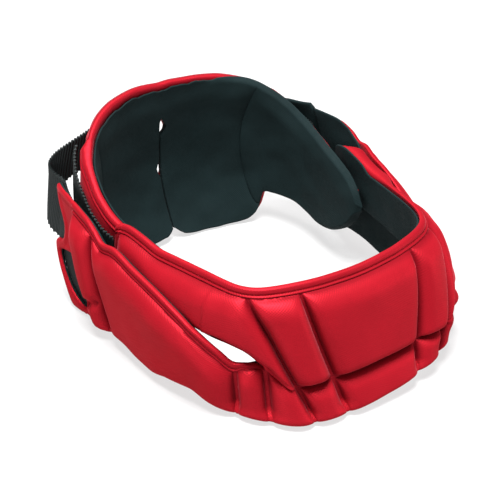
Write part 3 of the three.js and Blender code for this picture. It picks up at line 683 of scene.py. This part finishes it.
rearPad = newPiece()
for mirrored in (False, True):
    for left, right, sides, leftFlat, leftMarks, columns in (
            (rearSlit(rearShape["slitGaps"][mirrored], 0), rearCrease, ("lip", "groove"), rearShape["lipHem"],
             hemSteps[::2], rearShape["innerColumns"]),
            (rearCrease, always(rearShape["wingEnd"]), ("groove", "hem"), hemShape["groove"],
             grooveSteps, rearShape["wingColumns"])):
        grid = cellGrid(
            rearFace, left, right, rearBottom, rearTop,
            {"left": leftFlat, "right": hemShape["groove"],
             "bottom": rearFlat("rearBottom"), "top": rearFlat("rearTop")},
            (columns, rearShape["rows"]),
            {"left": leftMarks, "right": grooveSteps, "bottom": hemSteps[::2], "top": hemSteps})
        thick, thin, begin, end = rearShape["topRoll"]
        hem, wall = lerp(thick, thin, ramp(grid["s"], begin, end)), rearWall(grid["s"])
        skins = cellSkins(
            grid, {"left": sides[0], "right": sides[1], "bottom": "hem", "top": "hem"}, wall,
            (hem * rearHem["edge"], np.minimum(hem + rearHem["fuller"], wall)), rearHem["round"] * hem,
            blunt=rearShape["topBlunt"])
        addPatch(rearPad, settleRear(grid, mirrored), *skins, mirrored, True)
rearPadObject = finishPiece(rearPad, "RearPad")
print("pads done")

# Linings
liningShape = {
    "gap": .65, "wall": 1.2, "inset": .6, "edgeRound": .6, "topInset": 1.7, "over": (-1.5, 116, 126),
    "underSlit": [(51, 0), (60, 0), (72, -10), (112, -14), (132, -12.5), (147, .8), (153, 2.4), (190, 2.6)],
    "panelWrap": .9, "panelSkins": (-.75, -.15), "panelOver": (2.7, 55, 62),
    "bulge": 2.2, "bulgeRoll": 15, "thinEdge": 14, "lip": -.3, "wing": 2.2, "wingFoot": (-.8, 118, 138),
    "rearWrap": 2.6, "wrapReach": 2.6, "wrapTop": (25, 60), "wrapEnd": (120, 140),
    "rearInset": {False: (2.4, -2, 25, 60, 0), True: (2.4, 1.2, 60, 100, 1.8)},  # wide, narrow, from s, to s, wider
    "puckers": [(.5, 5.5, .6), (.45, 2.6, 1), (.3, 1.3, 0)],  # height, length, start
    "upperCells": (("middle", "first", 26), ("first", "root", 8), ("root", "end", 44)),
    "lowerCells": (("middle", "first", 26), ("first", "root", 8), ("root", "square", 8),
                   ("square", "long", 44), ("long", "panel", 14)),
    "joined": (9, 4), "rows": 26, "rearColumns": (34, 52), "rearRows": 40,
}


def liningSkins(grid, inner=0, joined=None):  # joined: the side that goes on in the next patch, up to the slit
    near = {side: grid["reach"][side] for side in ("bottom", "top")}
    if joined:
        far, ease = liningShape["joined"]
        near[joined] = lerp(far, near[joined], ramp(grid["s"], slitRoot, slitRoot + ease))
    edge = pillow(np.minimum(near["bottom"], near["top"]), liningShape["edgeRound"])
    half = liningShape["wall"] / 2
    middle = -(liningShape["gap"] + half)
    return middle - (half + inner) * edge, middle + half * edge


def inset(edgeOf, amount):
    return lambda s: edgeOf(s) + amount(s)


def slitInset(s):
    return liningShape["inset"] * ramp(s, slitRoot, slitRoot + hemShape["rootEase"])


underSlit = curveThrough(liningShape["underSlit"], 1)


def upperLiningTop(mirrored):  # on the lifted side it goes up over the hem of the arm
    top, (over, begin, end) = liningShape["topInset"], liningShape["over"]
    return lambda s: armTop(s) - (top if mirrored else lerp(top, over, ramp(s, begin, end)))


def lowerLiningTop(mirrored):
    return lambda s: lowerTop(s) + (-4 * slitInset(s) if mirrored else underSlit(np.maximum(s, slitRoot)))


def liningGrid(face, left, right, bottom, top, columns, rows):  # no hems, no rows beside them
    noFlat = {"left": 0, "right": 0, "bottom": always(0), "top": always(0)}
    return cellGrid(face, left, right, bottom, top, noFlat, (columns, rows), dict.fromkeys(noFlat, np.zeros(0)))


frontLining = newPiece()
for mirrored in (False, True):
    for begin, end, columns in liningShape["upperCells"]:
        left, right = grooves("upper", begin, end)
        if end == "end":
            right = inset(right, always(-liningShape["inset"]))
        grid = liningGrid(frontFace, left, right, inset(armBottom, slitInset), upperLiningTop(mirrored),
                          columns, liningShape["rows"])
        addPatch(frontLining, settle(grid, mirrored, False), *liningSkins(grid, 0, "bottom"), 0, mirrored)
    for begin, end, columns in liningShape["lowerCells"]:
        grid = liningGrid(lowerFace, *grooves("lower", begin, end), inset(frontBottom, always(liningShape["inset"])),
                          lowerLiningTop(mirrored), columns, liningShape["rows"])
        addPatch(frontLining, settle(grid, mirrored, True), *liningSkins(grid, 0, "top"), 0, mirrored)
    s, z, faces, fromEdge, fromSeam = endPanel(grid)
    if not mirrored:
        over, begin, end = liningShape["panelOver"]
        z = z + over * ramp(z, begin, end) * ramp(fromSeam, 0, 5)
    wrap = liningShape["panelWrap"] * (1 - pillow(fromEdge, 1))
    skins = [wrap + height for height in liningShape["panelSkins"]]
    addPatch(frontLining, settle(faceGrid(lowerFace, s, z, faces), mirrored, True), *skins, 0, mirrored)
frontLiningObject = finishPiece(frontLining, "FrontLining")

rearLining = newPiece()
for mirrored in (False, True):
    wide, narrow, begin, end, wider = liningShape["rearInset"][mirrored]
    edge, (wingFoot, footFrom, footTo) = liningShape["inset"], liningShape["wingFoot"]

    def rearInset(s):
        wave = sum(height * np.sin(s / length + start) for height, length, start in liningShape["puckers"])
        return -lerp(narrow, wide + wider * ramp(s, 0, 18) + wave, 1 - ramp(s, begin, end))

    def rearRise(s):
        return lerp(edge, edge if mirrored else wingFoot, ramp(s, footFrom, footTo))

    slit = rearSlit(rearShape["liningGaps"][mirrored], edge if mirrored else liningShape["lip"])
    wing = always(rearShape["wingEnd"] + (-edge if mirrored else liningShape["wing"]))
    for left, right, columns, side in ((slit, rearCrease, liningShape["rearColumns"][0], "right"),
                                       (rearCrease, wing, liningShape["rearColumns"][1], "left")):
        grid = liningGrid(rearFace, left, right, inset(rearBottom, rearRise), inset(rearTop, rearInset),
                          columns, liningShape["rearRows"])
        reach = grid["reach"]
        inner = liningShape["bulge"] * pillow(reach[side], liningShape["bulgeRoll"])
        low, high = liningSkins(grid, inner * ramp(reach["top"], 0, liningShape["thinEdge"]))
        if not mirrored:  # folded over the edge of the wing
            far = liningShape["wrapReach"]
            upper = ramp(grid["s"], *liningShape["wrapTop"]) * (1 - ramp(reach["top"], 0, far))
            last = 1 - ramp(np.minimum(reach["right"], reach["bottom"]), 0, far)
            fold = liningShape["rearWrap"] * np.maximum(upper, ramp(grid["s"], *liningShape["wrapEnd"]) * last)
            low, high = low + fold, high + fold
        addPatch(rearLining, settleRear(grid, mirrored), low, high, 0, mirrored, True)
rearLiningObject = finishPiece(rearLining, "RearLining")
print("linings done")

# Elastic straps and wing bands
strapShape = {
    "line": [  # s, low edge, high edge
        (168, 4, 44), (175, 4, 51), (184, 4.2, 57), (190, 10.4, 59.3), (198, 20.8, 61.6), (205, 27.6, 63),
        (213, 29.5, 64.5), (222, 33.5, 66.5), (232, 42, 70), (242, 51, 75), (252, 57.5, 79.5), (262, 60, 83)],
    "foot": (161, 184), "end": 262, "leaves": 213, "easeOff": 8, "rearEnd": 42,
    "start": (26, .55), "finish": (24, .25), "gap": 1.2, "wall": 1.6, "layerGap": .3,
    "ribPitch": 2.1, "ribRadius": .8, "ribOver": .5, "ribPoints": 12, "core": .9, "grid": (90, 16),
}
bandShape = {"start": 62, "end": 116, "belowTop": 9, "width": 24, "lift": 2.6, "liftTo": 92, "wall": 1.6, "gap": .3}
strapLow, strapHigh = [curveThrough(strapShape["line"], i) for i in (1, 2)]


def strapFace(s, z):
    s, z = gridArrays(s, z)
    arm, armOut = lowerFace(np.minimum(s, strapShape["leaves"]), z)
    back, backOut = rearFace(np.full_like(s, strapShape["rearEnd"]), z)
    back = back + backOut * float(rearWall(0) + strapShape["layerGap"] + strapShape["wall"] + strapShape["gap"])
    armWay = np.stack([-armOut[..., 1], armOut[..., 0], 0 * s], -1)
    backWay = np.stack([backOut[..., 1], -backOut[..., 0], 0 * s], -1)
    (stiff, turn), (stiffBack, turnBack) = strapShape["start"], strapShape["finish"]
    first = arm + armWay * stiff * math.cos(turn) + armOut * stiff * math.sin(turn)
    second = back + backWay * stiffBack * math.cos(turnBack) + backOut * stiffBack * math.sin(turnBack)
    t = np.clip((s - strapShape["leaves"]) / (strapShape["end"] - strapShape["leaves"]), 0, 1)[..., None]
    u = 1 - t
    loop = arm * u ** 3 + 3 * first * u * u * t + 3 * second * u * t * t + back * t ** 3
    way = (first - arm) * u * u + 2 * (second - first) * u * t + (back - second) * t * t
    way = way / np.maximum(np.linalg.norm(way[..., :2], axis=-1), 1e-9)[..., None]
    loopOut = np.stack([way[..., 1], -way[..., 0], 0 * s], -1)
    onLoop = (s > strapShape["leaves"])[..., None]
    loop[..., 2] = z
    return np.where(onLoop, loop, arm), np.where(onLoop, loopOut, armOut)


def strapGrid(shares, rows):
    foot = lerp(*strapShape["foot"], rows)[None]
    s = lerp(foot, strapShape["end"], shares[:, None])
    return s, lerp(strapLow(s), strapHigh(s), rows[None]), strapFace


def bandGrid(shares, rows):
    s = lerp(bandShape["start"], bandShape["end"], shares[:, None]) + 0 * rows[None]
    top = rearTop(s) - bandShape["belowTop"]
    return s, top - bandShape["width"] * (1 - rows[None]), rearFace


def bandUnder(s):
    lift = bandShape["lift"] * (1 - ramp(s, bandShape["start"], bandShape["liftTo"]))
    return rearWall(s) + bandShape["gap"] + lift


def newTree(name, inputs, kinds):
    tree = bpy.data.node_groups.new(name, "GeometryNodeTree")
    tree.interface.new_socket(name="Geometry", in_out="OUTPUT", socket_type="NodeSocketGeometry")
    for socket, kind in (("Geometry", "Geometry"), *inputs, ("Material", "Material")):
        tree.interface.new_socket(name=socket, in_out="INPUT", socket_type="NodeSocket" + kind)
    kinds = ("NodeGroupInput", "NodeGroupOutput", "GeometryNodeRealizeInstances", "GeometryNodeSetMaterial", *kinds)
    return tree, [tree.nodes.new(kind) for kind in kinds]


def joinUp(tree, rows):  # from a node and its output to a node and its input
    for source, output, target, entry in rows:
        tree.links.new(source.outputs[output], target.inputs[entry])


def ribTree():
    tree, (start, end, real, paint, curve, ring, tube) = newTree("Ribs", [("Radius", "Float")], (
        "GeometryNodeMeshToCurve", "GeometryNodeCurvePrimitiveCircle", "GeometryNodeCurveToMesh"))
    ring.inputs["Resolution"].default_value = 10
    tube.inputs["Fill Caps"].default_value = True
    joinUp(tree, [
        (start, "Geometry", curve, "Mesh"), (start, "Radius", ring, "Radius"), (curve, "Curve", tube, "Curve"),
        (ring, "Curve", tube, "Profile Curve"), (tube, "Mesh", real, "Geometry"),
        (real, "Geometry", paint, "Geometry"), (start, "Material", paint, "Material"),
        (paint, "Geometry", end, "Geometry")])
    return tree


def stitchTree():
    tree, nodes = newTree("Stitches", [("Pitch", "Float"), ("Size", "Vector")], (
        "GeometryNodeMeshToCurve", "GeometryNodeResampleCurve", "GeometryNodeMeshUVSphere", "GeometryNodeTransform",
        "GeometryNodeInputTangent", "GeometryNodeInputNamedAttribute", "FunctionNodeAlignRotationToVector",
        "FunctionNodeAlignRotationToVector", "GeometryNodeInstanceOnPoints"))
    start, end, real, paint, curve, even, ball, shape, tangent, outDir, along, facing, put = nodes
    even.mode, outDir.data_type = "LENGTH", "FLOAT_VECTOR"
    along.axis, facing.axis, facing.pivot_axis = "X", "Z", "X"
    for node, name, value in ((ball, "Segments", 8), (ball, "Rings", 5), (ball, "Radius", .5),
                              (outDir, "Name", "outDir")):
        node.inputs[name].default_value = value
    joinUp(tree, [
        (start, "Geometry", curve, "Mesh"), (curve, "Curve", even, "Curve"), (start, "Pitch", even, "Length"),
        (even, "Curve", put, "Points"), (ball, "Mesh", shape, "Geometry"), (start, "Size", shape, "Scale"),
        (shape, "Geometry", put, "Instance"), (tangent, "Tangent", along, "Vector"),
        (along, "Rotation", facing, "Rotation"), (outDir, "Attribute", facing, "Vector"),
        (facing, "Rotation", put, "Rotation"), (put, "Instances", real, "Geometry"),
        (real, "Geometry", paint, "Geometry"), (start, "Material", paint, "Material"),
        (paint, "Geometry", end, "Geometry")])
    return tree


def lineObject(name, lines, outs):
    verts, edges, away = [], [], []
    for line, out in zip(lines, outs):
        first = len(verts)
        verts += ((np.asarray(line) - [0, browToMiddle, 0]) * toMetres).tolist()
        away += np.asarray(out).tolist()
        edges += [(first + i, first + i + 1) for i in range(len(line) - 1)]
    mesh = bpy.data.meshes.new(name)
    mesh.from_pydata(verts, edges, [])
    outDir = mesh.attributes.new("outDir", "FLOAT_VECTOR", "POINT")
    outDir.data.foreach_set("vector", np.array(away, np.float32).ravel())
    return linkObject(name, mesh)


def runTree(obj, tree, values):
    mod = obj.modifiers.new("Detail", "NODES")
    mod.node_group = tree
    for item in tree.interface.items_tree:
        if item.in_out == "INPUT" and item.name in values:
            mod[item.identifier] = values[item.name]
    bpy.context.view_layer.update()
    made = bpy.data.meshes.new_from_object(obj.evaluated_get(bpy.context.evaluated_depsgraph_get()))
    obj.modifiers.remove(mod)
    old, obj.data = obj.data, made
    bpy.data.meshes.remove(old)
    made.materials.clear()
    made.materials.append(values["Material"])
    made.shade_smooth()
    made.calc_loop_triangles()
    print(obj.name, len(made.loop_triangles), "triangles")
    return obj


# Materials
clothLook = {
    # the dark colour after vary, and the amount after it, are painted shade laid into the grooves and over the hems
    "colour": (.3, .0055, .0125), "vary": (.88, 1.12), "paintedShadeColour": (.08, .0, .003), "pressed": .5, "stipple": .088,
    "columns": 1.3, "courses": 1, "bump": .035, "patches": (60, 3), "grain": (400, 2), "rough": (.36, .12),
    "shader": {"Sheen Weight": .2, "Sheen Roughness": .35, "Sheen Tint": (1, .22, .27, 1), "Metallic": .3,
               "Specular IOR Level": 0, "Specular Tint": (1, .14, .18, 1), "Coat Weight": .1, "Coat Roughness": .55},
}
liningLook = {
    "colour": (.0016, .0075, .0082), "pale": (.003, .0115, .0125), "pitch": 1.3, "bump": .05, "crease": 5,
    "creases": (38, 1), "patches": (45, 4), "grain": (300, 2), "rough": (.77, .15),
    "shader": {"Specular IOR Level": .18},
}
elasticLook = {"colour": (.0055, .009, .0092), "bump": .1, "grain": (1800, 2), "rough": (.52, .2),
               "shader": {"Specular IOR Level": .3}}


def newMaterial(name):
    material = bpy.data.materials.new(name)
    material.use_nodes = True
    return material, material.node_tree, material.node_tree.nodes["Principled BSDF"]


def setInputs(tree, node, values):  # each a link or a plain value
    for name, value in values.items():
        if hasattr(value, "links"):
            tree.links.new(value, node.inputs[name])
        else:
            node.inputs[name].default_value = value


def mathNode(tree, operation, a, b=0):
    node = tree.nodes.new("ShaderNodeMath")
    node.operation = operation
    setInputs(tree, node, {0: a, 1: b})
    return node.outputs[0]


def attribute(tree, name, output):
    node = tree.nodes.new("ShaderNodeAttribute")
    node.attribute_name = name
    return node.outputs[output]


def knitHeight(tree, columns, courses):  # small stitches of a knit, from the way round and the height
    split = tree.nodes.new("ShaderNodeSeparateXYZ")
    setInputs(tree, split, {0: attribute(tree, "weave", "Vector")})
    across, up = [mathNode(tree, "SINE", mathNode(tree, "MULTIPLY", way, 6.2832 / pitch))
                  for way, pitch in zip(split.outputs, (columns, courses))]
    return mathNode(tree, "MULTIPLY", across, up)


def softNoise(tree, scale, detail):
    coords, noise = tree.nodes.new("ShaderNodeTexCoord"), tree.nodes.new("ShaderNodeTexNoise")
    setInputs(tree, noise, {"Scale": scale, "Detail": detail, "Vector": coords.outputs["Object"]})
    return noise.outputs["Fac"]


def mixColour(tree, factor, a, b):
    mix = tree.nodes.new("ShaderNodeMix")
    mix.data_type = "RGBA"
    setInputs(tree, mix, {0: factor, 6: a, 7: b})
    return mix.outputs[2]


def setSurface(tree, shader, look, colour, grain, height, depth):
    least, more = look["rough"]
    bump = tree.nodes.new("ShaderNodeBump")
    setInputs(tree, bump, {"Strength": 1, "Distance": depth * toMetres, "Height": height})
    rough = mathNode(tree, "ADD", mathNode(tree, "MULTIPLY", grain, more), least)
    setInputs(tree, shader, {"Base Color": colour, "Roughness": rough, "Normal": bump.outputs["Normal"],
                             **look["shader"]})


def redClothMaterial():
    look = clothLook
    material, tree, shader = newMaterial("RedCloth")
    knit = knitHeight(tree, look["columns"], look["courses"])
    stipple = mathNode(tree, "ADD", softNoise(tree, *look["patches"]),
                       mathNode(tree, "MULTIPLY", knit, look["stipple"]))
    base = mixColour(tree, stipple, *[(*[c * share for c in look["colour"]], 1) for share in look["vary"]])
    # painted shade: the colour darkens towards the dark shade colour in the grooves and on the hems
    shade = mathNode(tree, "MULTIPLY", attribute(tree, "press", "Fac"), look["pressed"])
    colour = mixColour(tree, shade, base, (*look["paintedShadeColour"], 1))
    setSurface(tree, shader, look, colour, softNoise(tree, *look["grain"]), knit, look["bump"])
    return material


def liningMaterial():
    look = liningLook
    material, tree, shader = newMaterial("BlackLining")
    knit = knitHeight(tree, look["pitch"], look["pitch"])
    colour = mixColour(tree, softNoise(tree, *look["patches"]), (*look["colour"], 1), (*look["pale"], 1))
    fine = mathNode(tree, "MULTIPLY", knit, look["bump"] / look["crease"])
    height = mathNode(tree, "ADD", fine, softNoise(tree, *look["creases"]))
    setSurface(tree, shader, look, colour, softNoise(tree, *look["grain"]), height, look["crease"])
    return material


def elasticMaterial():
    look = elasticLook
    material, tree, shader = newMaterial("BlackElastic")
    grain = softNoise(tree, *look["grain"])
    setSurface(tree, shader, look, (*look["colour"], 1), grain, grain, look["bump"])
    return material


redCloth, blackLining, blackElastic = redClothMaterial(), liningMaterial(), elasticMaterial()
for obj, material in ((frontPadObject, redCloth), (rearPadObject, redCloth),
                      (frontLiningObject, blackLining), (rearLiningObject, blackLining)):
    obj.data.materials.append(material)


def evenShares(gridOf, pitch):  # shares of the length that lie one pitch apart
    shares = np.linspace(0, 1, 200)
    s, z, face = gridOf(shares, np.array([.5]))
    middle = face(s, z)[0][:, 0]
    run = np.concatenate([[0], np.cumsum(np.linalg.norm(np.diff(middle, axis=0), axis=1))])
    count = max(2, int(run[-1] / pitch))
    return np.interp((np.arange(count) + .5) / count * run[-1], run, shares), run[-1]


def webGrid(name, gridOf, shares, rows, mirrored):  # a strap goes along with the arm, and less towards the back
    s, z, face = gridOf(shares, rows)
    grid = faceGrid(face, s, z, quadsOf(s.shape))
    if name != "Strap":
        return settleRear(grid, mirrored)
    held = settle({**grid, "s": np.minimum(s, strapShape["leaves"])}, mirrored, True)
    free = ramp(s, strapShape["leaves"] + strapShape["easeOff"], strapShape["end"])[..., None]
    return {**grid, "place": lerp(held["place"], grid["place"], free)}


ribs = ribTree()
webbing = {}
for name, gridOf, offset, turned in (
        ("Strap", strapGrid, lambda s: -(strapShape["gap"] + strapShape["wall"] / 2) + 0 * s, False),
        ("WingBand", bandGrid, lambda s: bandUnder(s) + bandShape["wall"] / 2, True)):
    shares, length = evenShares(gridOf, strapShape["ribPitch"])
    half, over = strapShape["core"] / 2, strapShape["ribOver"] / bandShape["width"]
    for side, mirrored in (("Left", False), ("Right", True)):
        piece = newPiece()
        grid = webGrid(name, gridOf, *[np.linspace(0, 1, count) for count in strapShape["grid"]], mirrored)
        middle = offset(grid["s"])
        addPatch(piece, grid, middle - half, middle + half, 0, mirrored, turned)
        core = finishPiece(piece, name + side)
        core.data.materials.append(blackElastic)
        grid = webGrid(name, gridOf, shares, np.linspace(-over, 1 + over, strapShape["ribPoints"]), mirrored)
        lines = grid["place"] + grid["out"] * offset(grid["s"])[..., None]
        ribObject = lineObject(name + side + "Ribs", lines * flipOf(mirrored), grid["out"] * flipOf(mirrored))
        runTree(ribObject, ribs, {"Radius": strapShape["ribRadius"] * toMetres, "Material": blackElastic})
        webbing[name + side] = (core, ribObject, length)
print("straps and bands done")

# Stitches along the hems
stitchShape = {"pitch": 2.6, "size": (2.0, .45, .4), "sink": .3}
stitchRuns = [  # piece, face, from s, to s, points, edge of the hem, share of the way in, wall
    ("Front", frontFace, .5, 149, 300, armTop, -1, "wall"),
    ("Front", frontFace, 64, 149, 200, armBottom, .84, "wall"),
    ("Front", lowerFace, 64, 184, 240, slitLower, -.84, "wall"),
    ("Rear", rearFace, .5, 146, 300, rearTop, -.91, "rearWall")]
stitches = stitchTree()
runs = {"Front": [], "Rear": []}
for mirrored in (False, True):
    for key, face, begin, end, count, edgeOf, share, wall in stitchRuns:
        s = np.linspace(begin, end, count)
        grid = faceGrid(face, s, edgeOf(s) + hemShape["stitchFromEdge"] * share)
        grid = settleRear(grid, mirrored) if face is rearFace else settle(grid, mirrored, face is lowerFace)
        line = grid["place"] + grid["out"] * (hemShape[wall] - stitchShape["sink"])
        runs[key].append((line * flipOf(mirrored), grid["out"] * flipOf(mirrored)))
stitchObjects = []
for key, lines in runs.items():
    obj = lineObject(key + "Stitches", *zip(*lines))
    stitchObjects.append(runTree(obj, stitches, {
        "Pitch": stitchShape["pitch"] * toMetres, "Size": [v * toMetres for v in stitchShape["size"]],
        "Material": redCloth}))
print("stitches done")

# What each piece is in the frame
for obj, node, slotName in (
        (frontPadObject, "front_pad", "red_cloth"), (rearPadObject, "rear_pad", "red_cloth"),
        (frontLiningObject, "front_lining", "black_lining"), (rearLiningObject, "rear_lining", "black_lining")):
    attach(obj, "root")
    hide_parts(node)
for key, node in (("StrapLeft", "strap_left"), ("StrapRight", "strap_right"),
                  ("WingBandLeft", "wing_band_left"), ("WingBandRight", "wing_band_right")):
    core, ribObject, length = webbing[key]
    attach(core, "root")
    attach(ribObject, "root")
    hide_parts(node)
for obj in stitchObjects:
    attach(obj, "root")
print("pieces declared")

# Floor, light and camera
studio = {
    "floor": (.18, .18, .18, 1), "floorGlow": .69, "world": .18, "aim": (0, 0, .05),
    "lights": {  # place, size, power
        "Key": ((-.12, -.08, 1.18), .6, 44), "Fill": ((1.1, -.8, .35), .9, 7),
        "Side": ((-1.1, -.35, .28), .7, 4), "Rim": ((.3, .9, .8), .6, 6)},
    "camera": (-.38774, -.52568, .44294), "tilt": 58, "turn": -35.98, "lens": 100.8,
}
bpy.ops.mesh.primitive_plane_add(size=6, location=(0, 0, -.0004))
floor = bpy.context.object
floor.name = "Floor"
paint, tree, shader = newMaterial("Floor")
setInputs(tree, shader, {
    "Base Color": studio["floor"], "Roughness": .9, "Specular IOR Level": .1,
    "Emission Color": (1, 1, 1, 1), "Emission Strength": studio["floorGlow"]})
floor.data.materials.append(paint)

world = bpy.data.worlds.new("Studio")
world.use_nodes = True
setInputs(world.node_tree, world.node_tree.nodes["Background"], {"Color": (1, 1, 1, 1), "Strength": studio["world"]})
bpy.context.scene.world = world
bpy.context.scene.view_settings.view_transform = "Standard"

for name, (place, size, power) in studio["lights"].items():
    light = bpy.data.lights.new(name, "AREA")
    light.shape, light.size, light.energy = "DISK", size, power
    obj = linkObject(name, light)
    obj.location = place
    obj.rotation_euler = (Vector(studio["aim"]) - Vector(place)).to_track_quat("-Z", "Y").to_euler()

cameraData = bpy.data.cameras.new("Camera")
cameraData.sensor_width, cameraData.sensor_fit, cameraData.lens = 36, "HORIZONTAL", studio["lens"]
cameraData.clip_start, cameraData.clip_end = .01, 20
camera = linkObject("Camera", cameraData)
camera.location = studio["camera"]
camera.rotation_euler = (math.radians(studio["tilt"]), 0, math.radians(studio["turn"]))
bpy.context.scene.camera = camera
